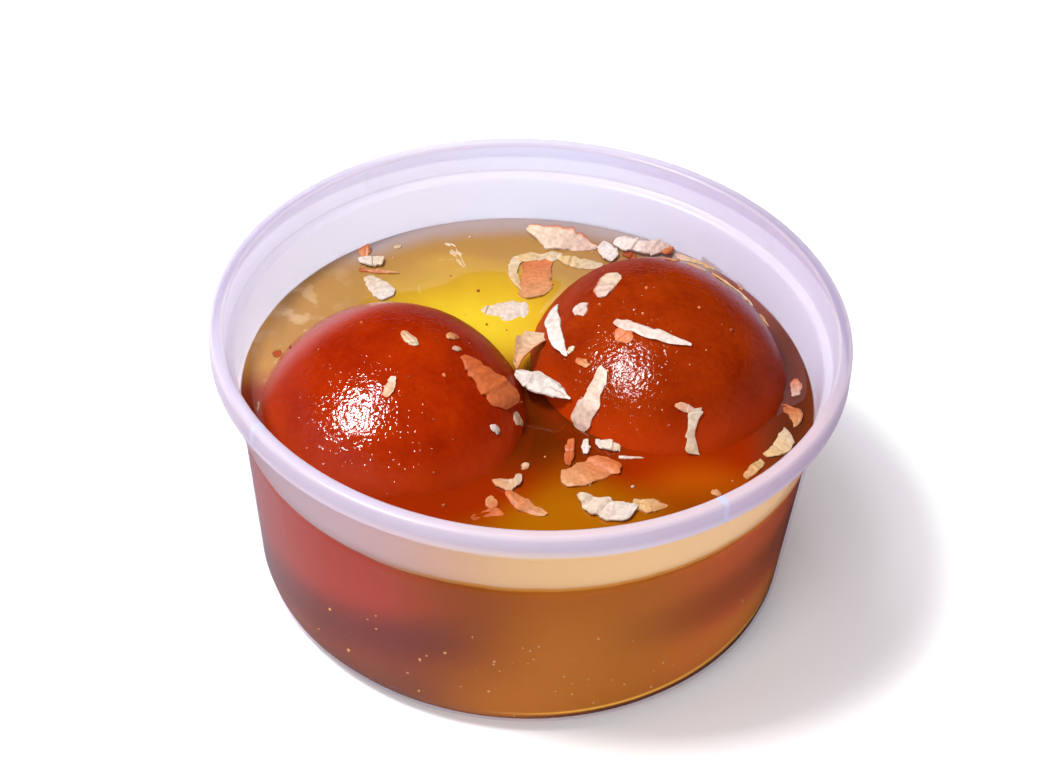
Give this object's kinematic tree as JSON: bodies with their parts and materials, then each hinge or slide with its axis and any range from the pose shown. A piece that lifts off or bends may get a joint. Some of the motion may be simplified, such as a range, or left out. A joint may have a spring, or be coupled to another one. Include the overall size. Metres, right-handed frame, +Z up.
{
  "type": "gulab jamun",
  "caption": "Gulab jamun: fried milk-dough balls in yellow sugar syrup with almond flakes, served in a thin milky round takeaway tub with a turned-down rim.",
  "frame": {"origin": "centre of the tub's foot, on the surface that it stands on", "axes": "+Z up through the tub's mouth; the balls lie side by side mostly along X, the right one a little further towards +Y"},
  "size_m": [0.098, 0.098, 0.0468],
  "materials": {
    "tub_plastic": "thin translucent milky polypropylene, injection moulded, satin to glossy",
    "syrup": "clear thick yellow-amber sugar syrup, wet gloss",
    "fried_dough": "deep red-brown fried dough soaked in syrup, fine-pored and wet"
  },
  "bodies": {
    "root": {"cup": "tub_plastic", "syrup": "syrup", "jamun_left": "fried_dough", "jamun_right": "fried_dough"}
  },
  "joints": []
}
